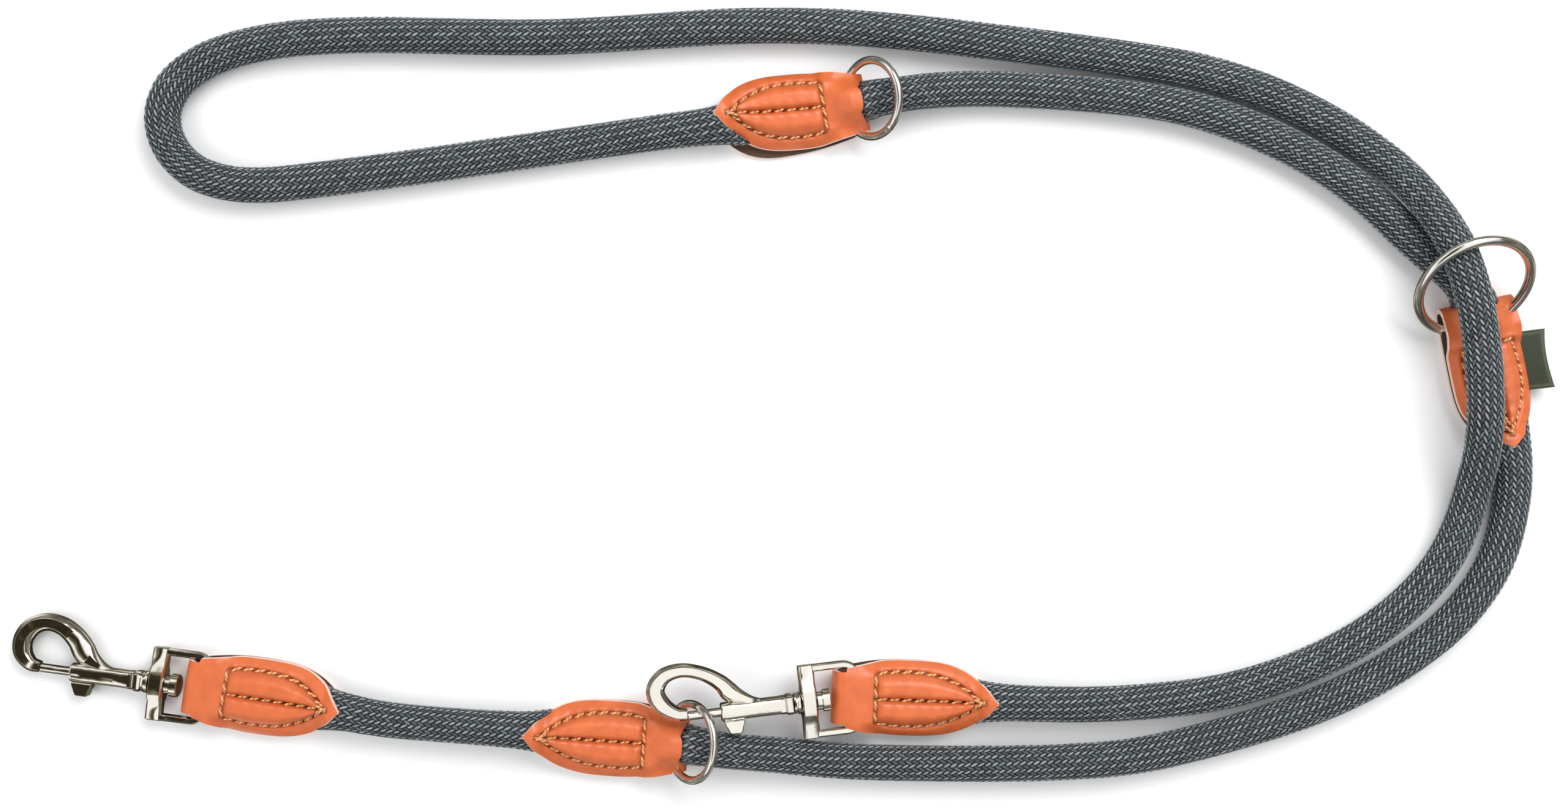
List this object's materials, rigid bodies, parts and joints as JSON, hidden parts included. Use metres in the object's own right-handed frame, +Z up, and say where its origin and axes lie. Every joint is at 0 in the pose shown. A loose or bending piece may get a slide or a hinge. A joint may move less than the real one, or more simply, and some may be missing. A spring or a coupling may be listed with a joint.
{
  "type": "training leash",
  "caption": "Adjustable braided rope dog lead with sewn leather tabs, welded rings and swivel-eye bolt snaps, laid out in a bow with one snap clipped to a ring.",
  "frame": {"origin": "on the surface that the lead lies on, under the centre of the box around its tabs, rings and snaps", "axes": "+X along the longest side, away from the free snap; +Y towards the handle loop; +Z up"},
  "size_m": [0.5207, 0.2606, 0.0304],
  "materials": {
    "rope_braid": "braided, matt with light flecks",
    "rope_core": "twisted fibre, matt",
    "leather": "smooth, satin, pale cut edge",
    "thread": "waxed sewing thread",
    "woven_label": "woven ribbon, matt",
    "ring_steel": "polished nickel plate",
    "nickel": "bright nickel plate on a die casting",
    "spring_steel": "bright wire"
  },
  "bodies": {
    "lead": {"rope_sheath": "rope_braid", "rope_core": "rope_core", "free_snap_tab": "leather", "lower_ring_tab": "leather", "big_ring_tab": "leather", "handle_ring_tab": "leather", "clipped_snap_tab": "leather", "free_snap_stitching": "thread", "lower_ring_stitching": "thread", "big_ring_stitching": "thread", "handle_ring_stitching": "thread", "clipped_snap_stitching": "thread", "side_label": "woven_label"},
    "lower_ring": {"lower_ring": "ring_steel"},
    "big_ring": {"big_ring": "ring_steel"},
    "handle_ring": {"handle_ring": "ring_steel"},
    "free_eye": {"free_eye": "nickel"},
    "free_hook": {"free_hook": "nickel", "free_collar": "nickel", "free_rivet": "nickel", "free_spring": "ring_steel"},
    "free_bolt": {"free_bolt": "nickel"},
    "clipped_eye": {"clipped_eye": "nickel"},
    "clipped_hook": {"clipped_hook": "nickel", "clipped_collar": "nickel", "clipped_rivet": "nickel", "clipped_spring": "ring_steel"},
    "clipped_bolt": {"clipped_bolt": "nickel"}
  },
  "joints": [
    {"name": "free_eye_pivot", "type": "hinge", "parent": "lead", "child": "free_eye", "pos_m": [-0.1935, -0.091, 0.0048], "axis": [0.1305, 0.9914, 0], "range_deg": [-20, 35]},
    {"name": "free_swivel", "type": "hinge", "parent": "free_eye", "child": "free_hook", "pos_m": [-0.21531, -0.08813, 0.00434], "axis": [0.9912, -0.1305, 0.0209], "continuous": true},
    {"name": "free_bolt_slide", "type": "slide", "parent": "free_hook", "child": "free_bolt", "axis": [0.9912, -0.1305, 0.0209], "range_m": [0, 0.0105], "stiffness_N_per_m": 300, "springref_m": -0.006, "deforming": ["free_spring"]},
    {"name": "clipped_eye_pivot", "type": "hinge", "parent": "lead", "child": "clipped_eye", "pos_m": [0.0266, -0.0923, 0.0083], "axis": [-0.1028, 0.9947, 0], "range_deg": [0, 1.5]},
    {"name": "clipped_swivel", "type": "hinge", "parent": "clipped_eye", "child": "clipped_hook", "pos_m": [0.00485, -0.09455, 0.01068], "axis": [0.9889, 0.1022, -0.108], "range_deg": [-2, 3]},
    {"name": "clipped_bolt_slide", "type": "slide", "parent": "clipped_hook", "child": "clipped_bolt", "axis": [0.9889, 0.1022, -0.108], "range_m": [0, 0.0105], "stiffness_N_per_m": 300, "springref_m": -0.006, "deforming": ["clipped_spring"]},
    {"name": "lower_ring_swing", "type": "hinge", "parent": "lead", "child": "lower_ring", "pos_m": [-0.03803, -0.10662, 0.00335], "axis": [-0.0698, -0.9976, 0], "range_deg": [0, 6]},
    {"name": "big_ring_swing", "type": "hinge", "parent": "lead", "child": "big_ring", "pos_m": [0.23385, 0.03099, 0.00335], "axis": [0.9781, 0.2079, 0], "range_deg": [0, 15]},
    {"name": "handle_ring_swing", "type": "hinge", "parent": "lead", "child": "handle_ring", "pos_m": [0.02189, 0.10667, 0.00335], "axis": [0.1564, -0.9877, 0], "range_deg": [0, 35]}
  ],
  "couplings": [
    {"joint": "lower_ring_swing", "follows": "clipped_eye_pivot", "ratio": 4}
  ]
}
